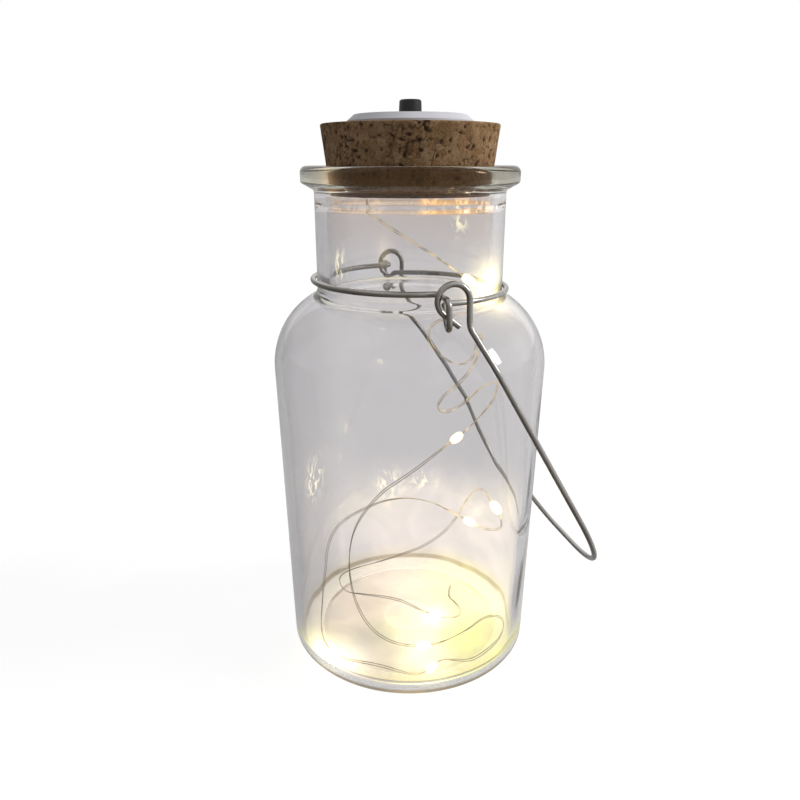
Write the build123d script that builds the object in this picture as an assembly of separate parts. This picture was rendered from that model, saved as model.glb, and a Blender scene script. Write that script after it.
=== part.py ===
from build123d import *
import os
from math import acos, asin, cos, degrees, pi, radians, sin, sqrt, tan

# Cork bottle light: a clear glass bottle with a wire carrying handle, and a cork stopper
# that holds a small coin-cell light unit with a string of lit beads hanging from it.
# Millimetres. The origin is the centre of the base, on the surface that it stands on.
# +Z is up, the handle swings about an axis along Y and hangs towards +X.

# Shared gaps
fit_gap = 0.1  # round pieces of one body that fit in each other
run_gap = 0.3  # pieces that move past each other
cut_over = 1.0  # a cutter's run past a face

# Glass bottle
bottle_h = 138.1
body_r = 37.55  # where the body meets the shoulder
body_taper = 1.85  # how much narrower it is at its heel
heel_round = 1.8
shoulder_drop = 52.1  # from the mouth down to the top of the body
shoulder_r = 21.5
neck_r = 25.0
neck_round = 2.0
lip_over = 3.4
lip_side_h = 4.1
lip_slope_h = 1.9
lip_top_round = 1.7
lip_under_round = 0.8
body_wall = 2.35
neck_wall = 3.1
mouth_round = 0.8
base_t = 2.6
floor_round = 2.0
base_pad_r = 12.0
base_ring_w = 7.3
base_recess = 0.5

# Neck wire with its two eyelets
wire_d = 1.5
ring_gap = 0.92  # from the shoulder to the ring's low half
ring_step = 2.4  # how much higher the half away from the handle lies
eyelet_reach = 2.2  # outwards past the hook's plane
eyelet_drop = 6.9  # from the ring down to where the eyelet's two strands would cross
eyelet_spread = 1.4  # sideways, between its two ends
eyelet_lead = 3.0
eyelet_bend = 1.3
eyelet_top_bend = 1.6
eyelet_foot_bend = 2.0

# Carrying handle
hinge_x = 1.9
hinge_rise = 1.9  # above the ring's low half
hook_out = 2.45  # the hook's plane, outwards from the shoulder beside the stub's foot
hook_r = 3.9
hook_sweep = 232.0
hook_tail = 5.0
stub_h = 6.4
stub_bend = 4.6
leg_out = 0.6
bow_x = 9.5
bow_drop = 16.1
bow_in = 0.95  # inwards from the body's radius
bow_bend = 10.0
grip_x = 51.0
grip_z = 23.0  # over the base, as the handle hangs
grip_in = 1.4  # inwards from the bow's corners
grip_bend = 30.0

# Cork stopper
cork_h = 17.0
cork_in = 7.1  # how far it goes into the mouth
cork_flare = 1.4  # from the mouth up to its top
cork_edge = 0.4

# Battery case, set into the top of the cork
case_depth = 13.0
case_wall = 1.3
case_floor_t = 1.2
flange_over = 1.2
flange_t = 0.8
cell_d = 20.0
cell_h = 3.2
strip_t = 0.4
strip_w = 4.0
negative_strip_l = 16.0
positive_strip_l = 9.0
board_t = 1.0
board_r = 12.5

# Cover of the case
cover_gap = 0.2
cover_over = 2.2
cover_side_h = 0.5
cover_chamfer_h = 1.5
cover_chamfer_w = 1.8
cover_crown = 0.4
cover_t = 1.1
skirt_t = 1.0
skirt_h = 2.0

# Push switch
switch_w = 7.0
switch_h = 3.4
switch_floor_t = 0.4
switch_edge = 0.3
button_r = 2.95
button_taper = 0.18
button_h = 4.2
button_round = 0.6
button_travel = 1.5
stem_r = 1.4
stem_l = 2.3
spring_wire_d = 0.3
spring_turns = 2
resistor_l = 3.2
resistor_w = 1.6
resistor_t = 1.0
resistor_x = -7.5
resistor_y = -4.0

# Light string
light_wire_d = 0.8
grommet_r = 1.6
grommet_head_r = 2.2
grommet_head_t = 0.6
lead_wall = 1.5  # from the cell pocket to the middle of the lead's hole
bead_l = 4.0
bead_r = 1.3
bead_nose_share = 0.55
chip_l = 1.4
chip_w = 0.8
chip_t = 0.45

# The string's route: it leaves the grommet, curls once in the neck and once under it, then
# lies in loose loops on the bottle's floor and against its wall
light_route = [
    (-10.7, 4.4, 130.4), (-10.7, 4.4, 126.4), (-8.4, 3.1, 122.8), (-2.9, 0.4, 120.2),
    (4.5, -4.2, 116.2), (10.6, -8.4, 111.8), (16.2, -11.0, 107.4), (15.4, -9.8, 102.4),
    (10.0, -5.6, 99.7), (4.6, -4.6, 97.6), (3.2, -6.6, 93.6), (6.4, -7.8, 88.8),
    (12.0, -7.4, 85.4), (17.0, -4.6, 86.0), (19.2, -2.8, 90.2), (18.6, -5.4, 94.6),
    (17.8, -9.6, 94.2), (16.2, -12.8, 90.6), (13.2, -14.8, 86.6), (9.4, -15.8, 83.0),
    (5.0, -15.9, 79.8), (3.4, -14.4, 76.4), (7.0, -12.6, 73.8), (14.2, -10.8, 76.6),
    (20.4, -9.0, 80.2), (25.4, -6.2, 79.4), (26.0, -4.2, 75.2), (21.8, -5.2, 70.8),
    (15.8, -8.4, 67.6), (6.2, -11.6, 63.2), (-1.6, -11.2, 57.0), (-10.9, -9.5, 50.6),
    (-18.0, -7.8, 40.6), (-20.4, -8.8, 28.8), (-19.0, -10.7, 16.4), (-14.1, -14.1, 6.8),
    (-5.4, -18.4, 4.0), (4.8, -19.6, 4.2), (13.9, -15.9, 4.3), (21.0, -10.9, 4.0),
    (26.3, -10.5, 3.8), (27.9, -14.9, 3.8), (23.8, -19.8, 3.8), (17.4, -24.8, 4.0),
    (10.6, -28.4, 3.9), (6.4, -26.8, 3.8), (2.6, -25.6, 4.1), (-4.6, -31.4, 4.1),
    (-9.2, -28.2, 3.8), (-13.6, -24.6, 3.8), (-19.2, -21.4, 4.0), (-23.6, -19.4, 4.1),
    (-28.0, -13.0, 4.6), (-28.6, -6.0, 7.4), (-27.8, -1.4, 14.1), (-26.2, -0.6, 21.8),
    (-25.2, 2.4, 27.6), (-21.0, 9.0, 31.8), (-11.6, 14.8, 33.0), (0.0, 17.8, 34.4),
    (10.8, 17.6, 32.4), (20.6, 13.2, 27.6), (28.0, 6.2, 24.8), (30.6, 0.4, 27.6),
    (30.4, -2.2, 31.8), (28.2, 2.8, 39.4), (26.6, 8.6, 38.6), (25.4, 14.2, 33.4),
    (23.2, 17.6, 25.4), (19.6, 22.0, 16.6), (13.2, 26.0, 9.6), (4.6, 28.4, 5.6),
    (-4.8, 27.4, 4.6), (-13.4, 24.2, 5.6), (-20.2, 18.8, 6.8), (-19.2, 13.4, 4.4),
    (-13.8, 11.0, 4.0), (-7.4, 8.6, 3.9), (-1.6, 4.8, 3.9), (1.6, 1.2, 4.0),
    (4.0, -3.2, 4.2), (10.6, -9.4, 4.2), (15.2, -8.4, 4.2), (15.8, -2.8, 4.2),
    (13.6, 2.4, 4.3), (16.6, 6.8, 4.6),
]
bead_runs = [5, 28, 36, 46, 51, 61, 64, 80]  # the stretches of the route that carry a bead
bend_share = 0.45  # of the shorter run, on each side of a bend

# Sizes that follow
wire_r = wire_d / 2
heel_r = body_r - body_taper
shoulder_z = bottle_h - shoulder_drop
shoulder_mid_r = body_r - shoulder_r
mouth_r = neck_r - neck_wall
ring_r = neck_r + run_gap + wire_r
ring_reach = shoulder_r + ring_gap + wire_r
ring_low_z = shoulder_z + sqrt(ring_reach ** 2 - (ring_r - shoulder_mid_r) ** 2)
ring_high_z = ring_low_z + ring_step
hinge_z = ring_low_z + hinge_rise
stub_foot_z = hinge_z - stub_h
hook_y = shoulder_mid_r + sqrt(shoulder_r ** 2 - (stub_foot_z - shoulder_z) ** 2) + hook_out
bow_half_w = body_r - bow_in
grip_half_w = bow_half_w - grip_in
cork_bottom_z = bottle_h - cork_in
cork_top_z = cork_bottom_z + cork_h
seat_z = bottle_h - mouth_round
seat_r = mouth_r - run_gap
cork_top_r = seat_r + cork_flare
cork_slope = cork_flare / (cork_top_z - seat_z)
cork_bottom_r = seat_r - cork_slope * (seat_z - cork_bottom_z)
cell_pocket_r = cell_d / 2 + fit_gap
case_r = board_r + fit_gap + case_wall
case_bottom_z = cork_top_z - case_depth
pocket_z = case_bottom_z + case_floor_t
cell_low_z = pocket_z + strip_t
cell_high_z = cell_low_z + cell_h
positive_strip_z = cell_high_z + cell_h
board_z = positive_strip_z + strip_t
board_top_z = board_z + board_t
switch_top_z = board_top_z + switch_h
cover_z = cork_top_z + cover_gap
cover_edge_r = case_r + cover_over
cover_top_z = cover_z + cover_side_h + cover_chamfer_h
button_z = switch_top_z + button_travel + run_gap
spring_floor_z = board_top_z + switch_floor_t
light_r = light_wire_d / 2
lead_r = cell_pocket_r + lead_wall
lead_turn = 180.0 - degrees(asin(light_route[0][1] / lead_r))
grommet_z = cork_bottom_z - grommet_head_t


def lathe(*outline):
    """A solid of revolution about Z from points (radius, height)."""
    return revolve(Plane.XZ * make_face(Polyline(*outline, close=True)), Axis.Z)


def rings(solid, radius, height):
    """The circular edges of a turned solid at one radius and height."""
    near = run_gap / 2
    found = solid.edges().filter_by(GeomType.CIRCLE)
    found = [e for e in found if abs(e.arc_center.Z - height) < near and abs(e.radius - radius) < near]
    return ShapeList(found)


def disc(radius, bottom, top):
    """A round plate about Z between two heights."""
    flat = (Align.CENTER, Align.CENTER, Align.MIN)
    return Pos(0, 0, bottom) * Cylinder(radius, top - bottom, align=flat)


def slab(length, width, height, x, y, bottom):
    """A block centred on (x, y) that stands on one height."""
    flat = (Align.CENTER, Align.CENTER, Align.MIN)
    return Pos(x, y, bottom) * Box(length, width, height, align=flat)


def wire_solid(path, radius):
    """A round wire along a path."""
    start = Plane(path @ 0, z_dir=path % 0)
    return sweep(start * Circle(radius), path=path)


def shoulder_meets(radius, arc_r):
    """The height at which the shoulder's arc comes in to a radius."""
    return shoulder_z + sqrt(arc_r ** 2 - (radius - shoulder_mid_r) ** 2)


def shoulder_face(foot_r, low_z, side_r, arc_r, end_r):
    """The floor, the side and the shoulder's arc of a bottle's section, in to a radius."""
    sweep_deg = degrees(acos((end_r - shoulder_mid_r) / arc_r))
    side = Polyline((0, low_z), (foot_r, low_z), (side_r, shoulder_z))
    arc = CenterArc((shoulder_mid_r, shoulder_z), arc_r, 0, sweep_deg)
    return side, arc


def bottle_outside():
    side, arc = shoulder_face(heel_r, 0, body_r, shoulder_r, neck_r)
    lip_r = neck_r + lip_over
    lip_z = bottle_h - lip_side_h
    lip = [(neck_r, lip_z - lip_slope_h), (lip_r, lip_z), (lip_r, bottle_h)]
    top = Polyline(arc @ 1, *lip, (0, bottle_h), (0, 0))
    solid = revolve(Plane.XZ * make_face([side, arc, top]), Axis.Z)
    solid = fillet(rings(solid, heel_r, 0), heel_round)
    solid = fillet(rings(solid, neck_r, shoulder_meets(neck_r, shoulder_r)), neck_round)
    solid = fillet(rings(solid, lip_r, bottle_h), lip_top_round)
    solid = fillet(rings(solid, lip_r, lip_z), lip_under_round)
    return fillet(rings(solid, neck_r, lip_z - lip_slope_h), lip_under_round)


def bottle_inside():
    inner_arc = shoulder_r - body_wall
    foot_r = heel_r - body_wall
    side, arc = shoulder_face(foot_r, base_t, body_r - body_wall, inner_arc, mouth_r)
    past = bottle_h + cut_over
    top = Polyline(arc @ 1, (mouth_r, past), (0, past), (0, base_t))
    solid = revolve(Plane.XZ * make_face([side, arc, top]), Axis.Z)
    solid = fillet(rings(solid, foot_r, base_t), floor_round)
    return fillet(rings(solid, mouth_r, shoulder_meets(mouth_r, inner_arc)), neck_round)


def glass_bottle():
    """The bottle, open at its mouth, standing on a ring and a middle pad."""
    ring_inner_r = heel_r - heel_round - base_ring_w
    recess = disc(ring_inner_r, -cut_over, base_recess) - disc(base_pad_r, -cut_over, base_recess)
    bottle = bottle_outside() - bottle_inside() - recess
    return fillet(rings(bottle, mouth_r, bottle_h), mouth_round)


def on_ring(x, height):
    """The point of the ring's front half at one x."""
    y = -sqrt(ring_r ** 2 - x ** 2)
    return Vector(x, y, height)


def tangent_corner(x_ring, x_corner, height):
    """The point at x_corner on the ring's tangent at x_ring."""
    point = on_ring(x_ring, height)
    slope = -point.X / point.Y
    return Vector(x_corner, point.Y + slope * (x_corner - x_ring), height)


def eyelet_path():
    """From the high half of the ring, out and down, and back up to the low half."""
    out_y = -hook_y - eyelet_reach
    mid_x = eyelet_spread / 3
    points = [
        on_ring(-eyelet_lead, ring_high_z),
        tangent_corner(-eyelet_lead, 0, ring_high_z),
        Vector(0, out_y, ring_high_z),
        Vector(mid_x, out_y, ring_low_z - eyelet_drop),
        tangent_corner(eyelet_spread + eyelet_lead, eyelet_spread, ring_low_z),
        on_ring(eyelet_spread + eyelet_lead, ring_low_z),
    ]
    return FilletPolyline(*points, radius=[eyelet_bend, eyelet_top_bend, eyelet_foot_bend, eyelet_bend])


def neck_wire():
    """One wire round the neck, bent into an eyelet at the front and at the back."""
    front = eyelet_path()
    low_turn = degrees(asin((eyelet_spread + eyelet_lead) / ring_r))
    high_turn = degrees(asin(eyelet_lead / ring_r))
    low = CenterArc((0, 0, ring_low_z), ring_r, low_turn - 90, 180 - 2 * low_turn)
    high = CenterArc((0, 0, ring_high_z), ring_r, 90 + high_turn, 180 - 2 * high_turn)
    back = front.mirror(Plane.XZ)
    half = wire_solid(Wire([*front.edges(), *low.edges()]), wire_r)
    other = wire_solid(Wire([*back.edges(), *high.edges()]), wire_r)
    return half + other


def hook_point(turn):
    """A point of the front hook's circle, at a turn in degrees from +X towards +Z."""
    angle = radians(turn)
    return Vector(hinge_x + hook_r * cos(angle), -hook_y, hinge_z + hook_r * sin(angle))


def bail_handle():
    """The carrying handle: one wire with a hook at each end, hanging on the +X side."""
    start = hook_point(hook_sweep)
    away = Vector(-sin(radians(hook_sweep)), 0, cos(radians(hook_sweep)))
    tail = Line(start + away * hook_tail, start)
    hook = ThreePointArc(start, hook_point(hook_sweep / 2), hook_point(0))
    corners = [
        Vector(hinge_x + hook_r, -hook_y - leg_out, stub_foot_z),
        Vector(hinge_x + bow_x, -bow_half_w, hinge_z - bow_drop),
        Vector(hinge_x + grip_x, -grip_half_w, grip_z),
    ]
    mirrored = [Vector(p.X, -p.Y, p.Z) for p in reversed(corners)]
    ends = [hook_point(0), Vector(hinge_x + hook_r, hook_y, hinge_z)]
    bends = [stub_bend, bow_bend, grip_bend, grip_bend, bow_bend, stub_bend]
    legs = FilletPolyline(ends[0], *corners, *mirrored, ends[1], radius=bends)
    front = [*tail.edges(), *hook.edges()]
    back = [*tail.mirror(Plane.XZ).edges(), *hook.mirror(Plane.XZ).edges()]
    return wire_solid(Wire([*front, *legs.edges(), *back]), wire_r)


def lead_spot():
    """Where the lead runs down through the case and the cork."""
    return lead_r * cos(radians(lead_turn)), lead_r * sin(radians(lead_turn))


def cork_stopper():
    """The tapered cork, bored for the battery case and the grommet."""
    foot = [(0, cork_bottom_z), (cork_bottom_r, cork_bottom_z)]
    cork = lathe(*foot, (cork_top_r, cork_top_z), (0, cork_top_z))
    cork = chamfer(rings(cork, cork_bottom_r, cork_bottom_z), cork_edge)
    cork = chamfer(rings(cork, cork_top_r, cork_top_z), cork_edge)
    bore = disc(case_r + fit_gap, case_bottom_z, cork_top_z + cut_over)
    rebate = disc(case_r + flange_over + fit_gap, cork_top_z - flange_t, cork_top_z + cut_over)
    x, y = lead_spot()
    hole = Pos(x, y, 0) * disc(grommet_r + fit_gap, cork_bottom_z - cut_over, case_bottom_z + cut_over)
    return cork - bore - rebate - hole


def battery_case():
    """The white cup in the cork, with a pocket for two coin cells and a ledge for the board."""
    cup = disc(case_r, case_bottom_z, cork_top_z)
    cup += disc(case_r + flange_over, cork_top_z - flange_t, cork_top_z)
    cup -= disc(cell_pocket_r, pocket_z, cork_top_z + cut_over)
    cup -= disc(board_r + fit_gap, board_z, cork_top_z + cut_over)
    x, y = lead_spot()
    lead_hole = Pos(x, y, 0) * disc(light_r + fit_gap, case_bottom_z - cut_over, board_z + cut_over)
    slot_r = cell_pocket_r + strip_t + 2 * fit_gap
    slot = slab(slot_r, strip_w + 2 * fit_gap, board_z - pocket_z + cut_over, slot_r / 2, 0, pocket_z)
    return cup - lead_hole - slot


def coin_cell(bottom):
    """A coin cell with its can's rim stepped in at the lower face."""
    rim_z = bottom + cell_h / 6
    can = disc(cell_d / 2, rim_z, bottom + cell_h)
    return can + disc(cell_d / 2 - cell_h / 2, bottom, rim_z)


def negative_contact():
    """A strip under the lower cell with a leg up to the board."""
    leg_x = cell_pocket_r + fit_gap
    foot = slab(negative_strip_l, strip_w, strip_t, leg_x + strip_t - negative_strip_l / 2, 0, pocket_z)
    return foot + slab(strip_t, strip_w, board_z - pocket_z, leg_x + strip_t / 2, 0, pocket_z)


def positive_contact():
    """A strip between the upper cell and the board."""
    return slab(positive_strip_l, strip_w, strip_t, 0, 0, positive_strip_z)


def circuit_board():
    return disc(board_r, board_z, board_top_z)


def resistor():
    return slab(resistor_l, resistor_w, resistor_t, resistor_x, resistor_y, board_top_z)


def switch_body():
    """The square push switch on the board, bored for its stem."""
    block = slab(switch_w, switch_w, switch_h, 0, 0, board_top_z)
    block = chamfer(block.edges().group_by(Axis.Z)[-1], switch_edge)
    return block - disc(stem_r + run_gap, spring_floor_z, switch_top_z + cut_over)


def switch_spring():
    """The return spring under the stem."""
    coil_r = stem_r - spring_wire_d / 2
    low = spring_floor_z + spring_wire_d / 2
    height = button_z - stem_l - spring_floor_z - spring_wire_d
    coil = Pos(0, 0, low) * Helix(height / spring_turns, height, coil_r)
    return wire_solid(coil, spring_wire_d / 2)


def switch_button():
    """The black button and its stem."""
    low_r = button_r
    high_r = button_r - button_taper
    top = button_z + button_h
    cap = lathe((0, button_z), (low_r, button_z), (high_r, top), (0, top))
    cap = fillet(rings(cap, high_r, top), button_round)
    return cap + disc(stem_r, button_z - stem_l, button_z)


def case_cover():
    """The white cover with a chamfered rim, a crowned top and a skirt inside the case."""
    rim_z = cover_z + cover_side_h
    top_r = cover_edge_r - cover_chamfer_w
    side = Polyline((0, cover_z), (cover_edge_r, cover_z), (cover_edge_r, rim_z), (top_r, cover_top_z))
    crown = ThreePointArc((top_r, cover_top_z), (0, cover_top_z + cover_crown), (-top_r, cover_top_z))
    crown = crown.trim(0, 1 / 2)
    close = Line(crown @ 1, (0, cover_z))
    cover = revolve(Plane.XZ * make_face([side, crown, close]), Axis.Z)
    skirt_r = board_r + fit_gap - run_gap
    cover += disc(skirt_r, cover_z - skirt_h, cover_z)
    cover -= disc(skirt_r - skirt_t, cover_z - skirt_h - cut_over, cover_top_z - cover_t)
    return cover - disc(button_r + run_gap, cover_z, cover_top_z + cover_crown + cut_over)


def wire_grommet():
    """The soft plug that holds the string where it leaves the cork."""
    x, y = lead_spot()
    plug = disc(grommet_r, grommet_z, case_bottom_z) + disc(grommet_head_r, grommet_z, cork_bottom_z)
    bore = disc(light_r + fit_gap / 2, grommet_z - cut_over, case_bottom_z + cut_over)
    return Pos(x, y, 0) * (plug - bore)


def lead_wire():
    """The string's start, from the board down to the grommet's face."""
    x, y = lead_spot()
    return Pos(x, y, 0) * disc(light_r, grommet_z, board_z)


def route_points():
    """The route, with its first point on the lead's line at the grommet's face."""
    x, y = lead_spot()
    start = Vector(x, y, grommet_z)
    second = Vector(x, y, light_route[1][2])
    return [start, second] + [Vector(*p) for p in light_route[2:]]


def light_wire():
    """The free string: straight runs joined by tangent arcs as large as the runs allow."""
    points = route_points()
    radii = []
    length = (points[1] - points[0]).length
    for before, here, after in zip(points, points[1:], points[2:]):
        turn = radians((here - before).get_angle(after - here))
        shorter = min((here - before).length, (after - here).length)
        radii.append(bend_share * shorter / tan(turn / 2))
        length += (after - here).length - 2 * radii[-1] * tan(turn / 2) + radii[-1] * turn
    path = FilletPolyline(*points, radius=radii)
    tube = wire_solid(Wire(path.edges()), light_r)
    print("light_wire radii", [round(r, 1) for r in radii])
    print("light_wire least radius %.1f mm, length %.1f mm" % (min(radii), length))
    print("light_wire volume over section times length %.4f" % (tube.volume / (pi * light_r ** 2 * length)))
    return tube


def bead_plane(run):
    """The plane across the string at the middle of one of its runs."""
    points = route_points()
    middle = (points[run] + points[run + 1]) * 0.5
    return Plane(middle, z_dir=points[run + 1] - points[run])


def chip_solid(gap):
    """A light chip beside the string, grown by a gap on each side."""
    off = light_r + 2 * fit_gap + chip_t / 2
    return Pos(off, 0, 0) * Box(chip_t + 2 * gap, chip_w + 2 * gap, chip_l + 2 * gap)


def light_bead(run):
    """A clear drop of resin round the string and its chip."""
    half = bead_l / 2
    nose_r = bead_r * bead_nose_share
    hull = Spline((nose_r, -half), (bead_r, 0), (nose_r, half), tangents=((1, 1), (-1, 1)))
    ends = Polyline((nose_r, half), (0, half), (0, -half), (nose_r, -half))
    drop = revolve(Plane.XZ * make_face([hull, ends]), Axis.Z)
    drop -= disc(light_r + fit_gap, -half - cut_over, half + cut_over)
    return bead_plane(run) * (drop - chip_solid(fit_gap / 2))


def led_chip(run):
    """The light chip in one bead."""
    return bead_plane(run) * chip_solid(0)


def write(name, shape):
    os.makedirs("parts", exist_ok=True)
    export_step(shape, "parts/%s.step" % name)


write("glass_bottle", glass_bottle())
write("neck_wire", neck_wire())
write("bail_handle", bail_handle())
write("cork_stopper", cork_stopper())
write("battery_case", battery_case())
write("cell_lower", coin_cell(cell_low_z))
write("cell_upper", coin_cell(cell_high_z))
write("negative_contact", negative_contact())
write("positive_contact", positive_contact())
write("circuit_board", circuit_board())
write("resistor", resistor())
write("switch_body", switch_body())
write("switch_spring", switch_spring())
write("switch_button", switch_button())
write("case_cover", case_cover())
write("wire_grommet", wire_grommet())
write("lead_wire", lead_wire())
write("light_wire", light_wire())
for number, run in enumerate(bead_runs, start=1):
    write("led_chip_%d" % number, led_chip(run))
    write("light_bead_%d" % number, light_bead(run))
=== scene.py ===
import math

import bpy
import numpy as np
from mathutils import Matrix, Vector, noise


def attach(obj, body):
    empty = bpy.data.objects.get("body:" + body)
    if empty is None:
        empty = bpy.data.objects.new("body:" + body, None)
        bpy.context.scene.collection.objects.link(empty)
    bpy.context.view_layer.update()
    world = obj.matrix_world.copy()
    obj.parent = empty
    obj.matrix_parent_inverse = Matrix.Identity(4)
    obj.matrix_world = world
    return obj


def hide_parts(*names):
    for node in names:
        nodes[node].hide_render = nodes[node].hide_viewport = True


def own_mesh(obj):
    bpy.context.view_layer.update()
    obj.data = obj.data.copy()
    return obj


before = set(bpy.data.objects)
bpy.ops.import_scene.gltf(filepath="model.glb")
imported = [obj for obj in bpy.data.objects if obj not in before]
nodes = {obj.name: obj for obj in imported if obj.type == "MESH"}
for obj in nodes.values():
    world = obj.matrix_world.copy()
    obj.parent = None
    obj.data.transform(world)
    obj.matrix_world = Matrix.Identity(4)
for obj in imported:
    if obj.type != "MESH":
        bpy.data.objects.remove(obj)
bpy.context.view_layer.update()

# Cork bottle light. The glass bottle, the cork, the light string and the switch's spring are made
# here, and the other pieces are the frame's own with new materials. Sizes are in millimetres, and
# MM turns them into metres.
scene = bpy.context.scene
MM = 0.001

# Bottle sizes
bottle_h = 138.1
body_r = 37.55  # where the body meets the shoulder
heel_r = 35.7
heel_round = 1.8
shoulder_z = 86.0
shoulder_r = 21.5
neck_r = 25.0
neck_z = 105.5  # where the neck leaves the shoulder
mouth_r = 21.9
mouth_round = 0.8
lip_r = 28.4
lip_under_z = 132.1
lip_side_z = 134.0
lip_under_round = 0.9
lip_top_round = 1.7
wall = 2.35
floor_t = 2.6
floor_round = 2.0
pad_r = 8.0  # the base's flat middle, and the recess and the ring round it
pad_round = 9.0
recess_low_r = 21.0
recess_low_h = 0.44
recess_high_r = 25.6
recess_h = 0.5
ring_r = 27.0
ring_round = 1.4

# Cork sizes
cork_low = 131.0
cork_high = 148.0
cork_low_r = 20.79
cork_high_r = 23.0
cork_round = 0.45
flange_r = 15.2  # the recess for the case's flange
flange_z = 147.2
case_r = 14.0
case_z = 135.0

# Camera
camera_data = bpy.data.cameras.new("camera")
camera_data.lens = 31.24
camera_data.sensor_width = 36.0
camera_data.clip_start = 0.005
camera = bpy.data.objects.new("camera", camera_data)
scene.collection.objects.link(camera)
camera.location = (-0.0490, -0.1830, 0.1396)
camera.rotation_euler = (math.radians(70.88), 0, math.radians(-14.2))
scene.camera = camera
scene.view_settings.view_transform = "Standard"


# Mesh helpers
def in_metres(points):
    return [tuple(c * MM for c in p) for p in points]


def add_mesh(name, verts, faces, material, smooth=True):
    mesh = bpy.data.meshes.new(name)
    mesh.from_pydata([tuple(v) for v in verts], [], faces)
    mesh.validate()
    mesh.update()
    if smooth:
        mesh.polygons.foreach_set("use_smooth", [True] * len(mesh.polygons))
    mesh.materials.append(material)
    obj = bpy.data.objects.new(name, mesh)
    scene.collection.objects.link(obj)
    return obj


def lathe(profile, sides, wobble=None):
    """Vertices and faces of a closed solid turned about Z, from points (radius, height) that
    start and end on the axis. wobble gives a small change of radius at a point."""
    verts, faces, rows = [], [], []
    for r, z in profile:
        if r == 0:
            rows.append([len(verts)])
            verts.append((0.0, 0.0, z))
            continue
        row = []
        for i in range(sides):
            a = 2 * math.pi * i / sides
            ca, sa = math.cos(a), math.sin(a)
            turned_r = r + (wobble(r, z, ca, sa) if wobble else 0.0)
            row.append(len(verts))
            verts.append((turned_r * ca, turned_r * sa, z))
        rows.append(row)
    for low, high in zip(rows, rows[1:]):
        for i in range(sides):
            j = (i + 1) % sides
            if len(low) == 1:
                faces.append((low[0], high[j], high[i]))
            elif len(high) == 1:
                faces.append((low[i], low[j], high[0]))
            else:
                faces.append((low[i], low[j], high[j], high[i]))
    return verts, faces


def rounded(points, steps=8):
    """A profile through corners (radius, height, rounding), with an arc at each rounded one."""
    out = []
    straight = math.pi / 2 - 0.01  # half of a corner's angle above which it needs no arc
    for i, (r, z, fillet) in enumerate(points):
        p = Vector((r, z))
        if fillet <= 0 or i in (0, len(points) - 1):
            out.append((r, z))
            continue
        a = (Vector(points[i - 1][:2]) - p).normalized()
        b = (Vector(points[i + 1][:2]) - p).normalized()
        half = math.acos(max(-1, min(1, a.dot(b)))) / 2
        if half > straight:
            out.append((r, z))
            continue
        centre = p + (a + b).normalized() * fillet / math.sin(half)
        cut = fillet / math.tan(half)
        start = p + a * cut - centre
        turn = start.angle_signed(p + b * cut - centre)
        for k in range(steps + 1):
            spoke = start.copy()
            spoke.rotate(Matrix.Rotation(-turn * k / steps, 2))
            out.append(tuple(centre + spoke))
    return out


def fine(profile, step):
    """The same profile with its long stretches divided."""
    out = [profile[0]]
    for a, b in zip(profile, profile[1:]):
        n = max(1, int(math.dist(a, b) / step))
        out += [(a[0] + (b[0] - a[0]) * k / n, a[1] + (b[1] - a[1]) * k / n) for k in range(1, n + 1)]
    return out


def tube(points, radius, sides, offset=None):
    """Vertices and faces of a round tube along points. offset(i) moves the tube's middle off them,
    across the path, by two amounts."""
    pts = [Vector(p) for p in points]
    n = len(pts)
    tangents = [(pts[min(i + 1, n - 1)] - pts[max(i - 1, 0)]).normalized() for i in range(n)]
    side = tangents[0].orthogonal().normalized()
    verts, faces = [], []
    for i in range(n):
        t = tangents[i]
        side = (side - t * side.dot(t)).normalized()
        up = t.cross(side)
        middle = pts[i]
        if offset:
            u, v = offset(i)
            middle = middle + side * u + up * v
        for k in range(sides):
            a = 2 * math.pi * k / sides
            verts.append(middle + (side * math.cos(a) + up * math.sin(a)) * radius)
    for i in range(n - 1):
        for k in range(sides):
            m = (k + 1) % sides
            faces.append((i * sides + k, i * sides + m, (i + 1) * sides + m, (i + 1) * sides + k))
    faces.append(tuple(range(sides))[::-1])
    faces.append(tuple((n - 1) * sides + k for k in range(sides)))
    return verts, faces


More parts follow.
